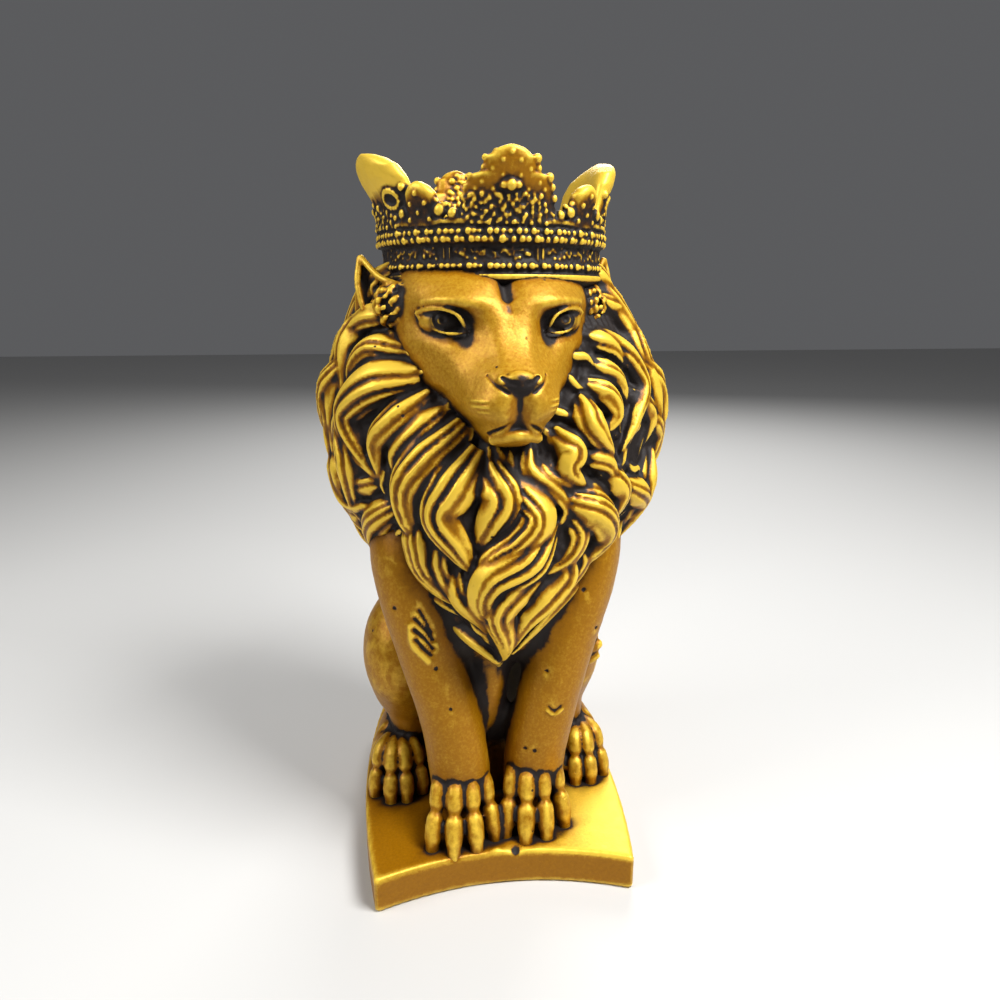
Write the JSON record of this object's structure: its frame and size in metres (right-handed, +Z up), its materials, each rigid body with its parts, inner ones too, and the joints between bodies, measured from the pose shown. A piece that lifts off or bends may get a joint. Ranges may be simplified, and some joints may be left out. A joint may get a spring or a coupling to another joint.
{
  "type": "lion figurine",
  "caption": "Seated lion with a full mane and an open crown, cast in one piece with a small flat plinth, a gold-painted desk or shelf ornament",
  "frame": {"origin": "the centre of the underside of the plinth", "axes": "+Z is up, -Y is the way the lion faces, +X is to the right of someone who looks at its face; the height is the longest extent"},
  "size_m": [0.0935, 0.0889, 0.1862],
  "materials": {
    "gold_paint": "satin antique gold paint over a cast body, with dark brown patina left in the recesses"
  },
  "bodies": {
    "root": {"lion_figurine": "gold_paint"}
  },
  "joints": []
}
